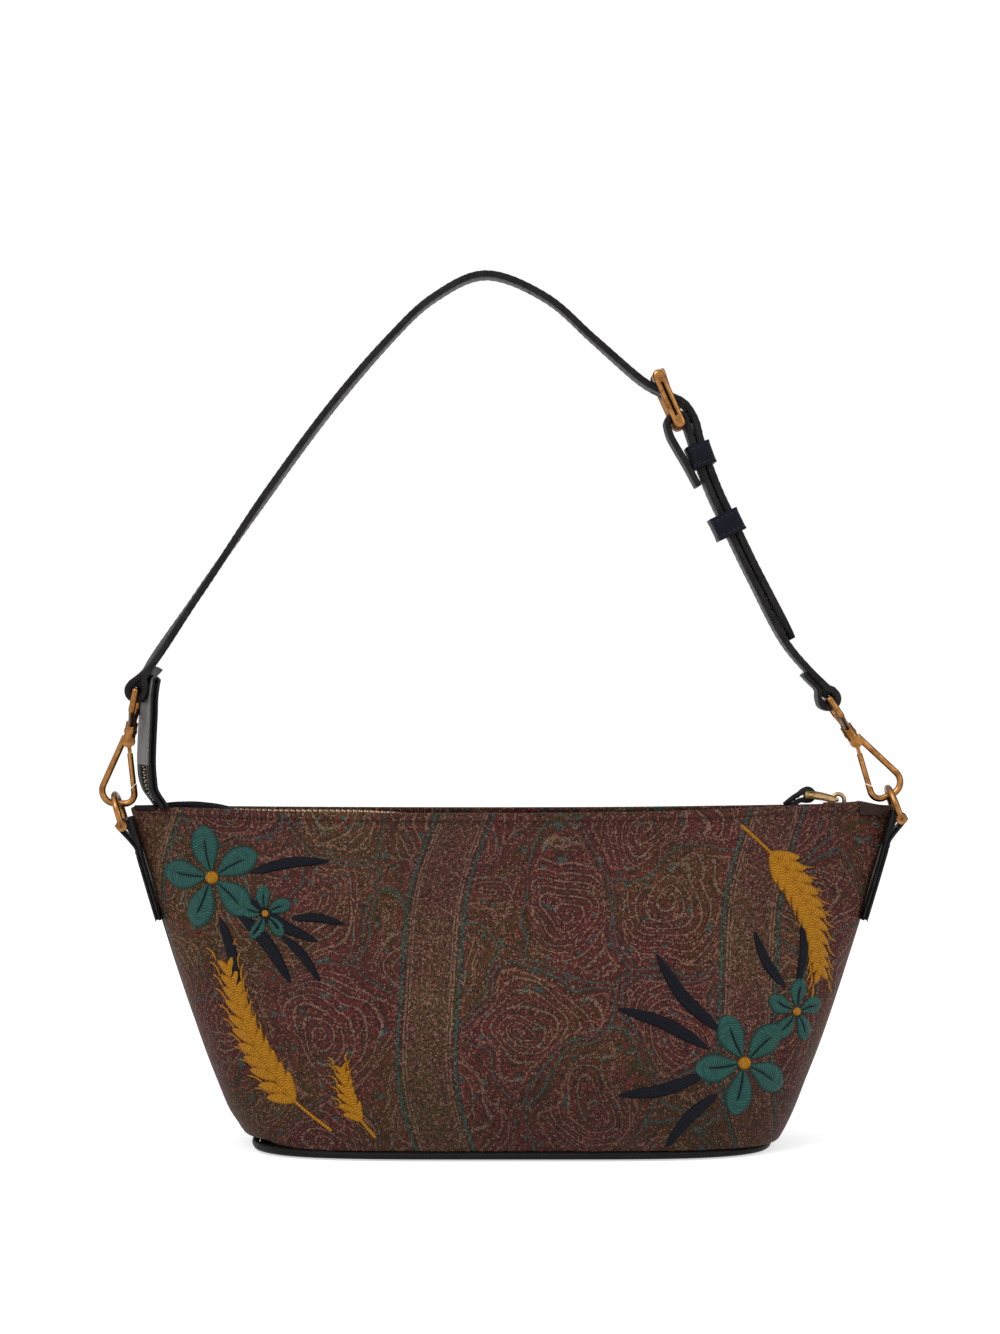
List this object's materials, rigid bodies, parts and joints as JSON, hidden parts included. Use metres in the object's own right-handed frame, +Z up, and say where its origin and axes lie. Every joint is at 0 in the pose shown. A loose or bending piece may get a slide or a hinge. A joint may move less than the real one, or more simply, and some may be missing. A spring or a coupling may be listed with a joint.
{
  "type": "crossbody bag",
  "caption": "Zip-top shoulder bag: a boat-shaped coated cloth body with leather trim, and a buckled leather strap clipped to rings by swivel snap hooks.",
  "frame": {"origin": "centre of the underside of the base", "axes": "+X to the wearer's view right along the zip, +Y to the back, +Z up"},
  "size_m": [0.3071, 0.092, 0.3303],
  "materials": {
    "coated_cloth": "coated jacquard cloth, fine woven speckle, satin",
    "black_leather": "smooth calf, edge painted and stitched",
    "brown_leather": "smooth calf, dark brown",
    "navy_leather": "smooth calf, navy",
    "lining_cloth": "plain woven cotton",
    "zip_tape": "woven polyester tape",
    "zip_metal": "polished light gold teeth",
    "gold_metal": "polished antique gold plating",
    "board": "pressed fibre board"
  },
  "bodies": {
    "bag": {"front_panel": "coated_cloth", "back_panel": "coated_cloth", "base_panel": "black_leather", "base_piping": "black_leather", "base_board": "board", "front_facing": "brown_leather", "back_facing": "brown_leather", "front_lining": "lining_cloth", "back_lining": "lining_cloth", "base_lining": "lining_cloth", "slip_pocket": "lining_cloth", "zip_end_cover": "brown_leather", "left_side_tab": "black_leather", "right_side_tab": "black_leather"},
    "front_zip": {"front_zip_tape": "zip_tape", "front_zip_teeth": "zip_metal"},
    "back_zip": {"back_zip_tape": "zip_tape", "back_zip_teeth": "zip_metal"},
    "slider": {"zip_slider": "gold_metal"},
    "puller": {"zip_puller": "gold_metal"},
    "pull_tab": {"leather_pull_tab": "black_leather"},
    "zip_tail": {"zip_tail_tape": "zip_tape", "zip_tail_teeth": "zip_metal", "zip_tail_leather": "black_leather"},
    "left_ring": {"left_d_ring": "gold_metal"},
    "right_ring": {"right_d_ring": "gold_metal"},
    "strap": {"long_strap": "black_leather", "short_strap": "black_leather", "fixed_keeper": "navy_leather"},
    "keeper": {"sliding_keeper": "navy_leather"},
    "buckle": {"buckle_frame": "gold_metal"},
    "prong": {"buckle_prong": "gold_metal"},
    "left_eye": {"left_hook_eye": "gold_metal"},
    "left_hook": {"left_hook_body": "gold_metal", "left_gate_rivet": "gold_metal"},
    "left_gate": {"left_hook_gate": "gold_metal"},
    "right_eye": {"right_hook_eye": "gold_metal"},
    "right_hook": {"right_hook_body": "gold_metal", "right_gate_rivet": "gold_metal"},
    "right_gate": {"right_hook_gate": "gold_metal"}
  },
  "joints": [
    {"name": "zip_slide", "type": "slide", "parent": "bag", "child": "slider", "axis": [-1, 0, 0], "range_m": [0, 0.222]},
    {"name": "front_zip_open", "type": "hinge", "parent": "bag", "child": "front_zip", "pos_m": [0, -0.0122, 0.1262], "axis": [1, 0, 0], "range_deg": [0, 68], "deforming": ["front_zip_tape", "front_zip_teeth"]},
    {"name": "back_zip_open", "type": "hinge", "parent": "bag", "child": "back_zip", "pos_m": [0, 0.0122, 0.1262], "axis": [-1, 0, 0], "range_deg": [0, 68], "deforming": ["back_zip_tape", "back_zip_teeth"]},
    {"name": "puller_lift", "type": "hinge", "parent": "slider", "child": "puller", "pos_m": [0.1236, 0, 0.1295], "axis": [0, 1, 0], "range_deg": [-4, 80]},
    {"name": "pull_tab_swing", "type": "hinge", "parent": "puller", "child": "pull_tab", "pos_m": [0.11247, 0, 0.13146], "axis": [0, 1, 0], "range_deg": [0, 40]},
    {"name": "zip_tail_bend", "type": "hinge", "parent": "bag", "child": "zip_tail", "pos_m": [-0.1265, 0, 0.1283], "axis": [0, -1, 0], "range_deg": [-75, 0]},
    {"name": "strap_fold", "type": "hinge", "parent": "bag", "child": "strap", "pos_m": [0, 0, 0.12967], "axis": [1, 0, 0.0088], "range_deg": [-60, 60]},
    {"name": "left_hook_swing", "type": "hinge", "parent": "strap", "child": "left_eye", "pos_m": [-0.14188, 0, 0.17086], "axis": [0, 1, 0], "range_deg": [-1, 1.5]},
    {"name": "right_hook_swing", "type": "hinge", "parent": "strap", "child": "right_eye", "pos_m": [0.12017, 0, 0.16778], "axis": [0, -1, 0], "range_deg": [-1, 1]},
    {"name": "left_ring_swing", "type": "hinge", "parent": "bag", "child": "left_ring", "pos_m": [-0.1472, 0, 0.1199], "axis": [0, -1, 0], "range_deg": [-6, 4]},
    {"name": "right_ring_swing", "type": "hinge", "parent": "bag", "child": "right_ring", "pos_m": [0.1472, 0, 0.1226], "axis": [0, -1, 0], "range_deg": [-0.5, 3.5]},
    {"name": "left_hook_swivel", "type": "hinge", "parent": "left_eye", "child": "left_hook", "pos_m": [-0.1455, 0, 0.1517], "axis": [0.1857, 0, 0.9826], "range_deg": [-8, 8]},
    {"name": "right_hook_swivel", "type": "hinge", "parent": "right_eye", "child": "right_hook", "pos_m": [0.1309, 0, 0.1515], "axis": [-0.5505, 0, 0.8348], "range_deg": [-8, 8]},
    {"name": "left_gate_press", "type": "hinge", "parent": "left_hook", "child": "left_gate", "pos_m": [-0.1455, 0, 0.1517], "axis": [0, 1, 0], "range_deg": [0, 14], "stiffness_Nm_per_rad": 0.02},
    {"name": "right_gate_press", "type": "hinge", "parent": "right_hook", "child": "right_gate", "pos_m": [0.1309, 0, 0.1515], "axis": [0, -1, 0], "range_deg": [0, 14], "stiffness_Nm_per_rad": 0.02},
    {"name": "buckle_tilt", "type": "hinge", "parent": "strap", "child": "buckle", "pos_m": [0.06343, 0, 0.27226], "axis": [0, 1, 0], "range_deg": [-2, 5]},
    {"name": "prong_lift", "type": "hinge", "parent": "buckle", "child": "prong", "pos_m": [0.06343, 0, 0.27226], "axis": [0, 1, 0], "range_deg": [0, 13]},
    {"name": "keeper_slide", "type": "slide", "parent": "strap", "child": "keeper", "axis": [0.4306, 0, -0.9026], "range_m": [-0.005, 0.008]}
  ],
  "couplings": [
    {"joint": "front_zip_open", "follows": "zip_slide", "rad_per_m": 5.1888},
    {"joint": "back_zip_open", "follows": "zip_slide", "rad_per_m": 5.1888}
  ]
}
